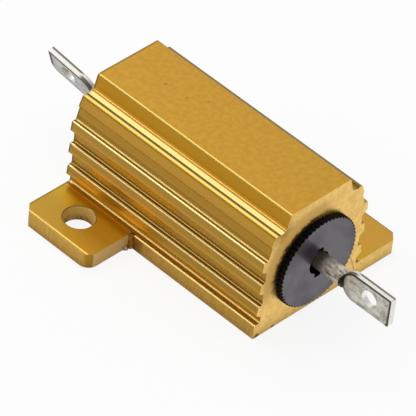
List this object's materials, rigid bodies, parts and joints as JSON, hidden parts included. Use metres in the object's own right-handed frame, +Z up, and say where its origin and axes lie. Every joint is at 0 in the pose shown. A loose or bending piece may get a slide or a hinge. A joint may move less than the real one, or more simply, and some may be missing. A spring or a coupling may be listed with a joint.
{
  "type": "aluminium housed resistor",
  "caption": "Wirewound power resistor in a finned gold-anodised housing with diagonal mounting lugs, knurled black end caps and flattened terminals with wiring eyes.",
  "frame": {"origin": "centre of the housing's flat base, on the surface that it is bolted to", "axes": "+X along the terminals towards the right one, +Y across the fins, +Z up and away from the base"},
  "size_m": [0.0489, 0.0272, 0.0147],
  "materials": {
    "anodised_aluminium": "gold anodised, satin",
    "cap_plastic": "semi-matt black moulding",
    "tinned_terminal": "tinned",
    "core_ceramic": "unglazed ceramic",
    "ferrule_steel": "plain",
    "resistance_wire": "plain",
    "potting_compound": "moulded"
  },
  "bodies": {
    "root": {"housing": "anodised_aluminium", "right_end_cap": "cap_plastic", "left_end_cap": "cap_plastic", "right_terminal": "tinned_terminal", "left_terminal": "tinned_terminal", "ceramic_core": "core_ceramic", "right_core_ferrule": "ferrule_steel", "left_core_ferrule": "ferrule_steel", "resistance_winding": "resistance_wire", "potting_fill": "potting_compound"}
  },
  "joints": []
}
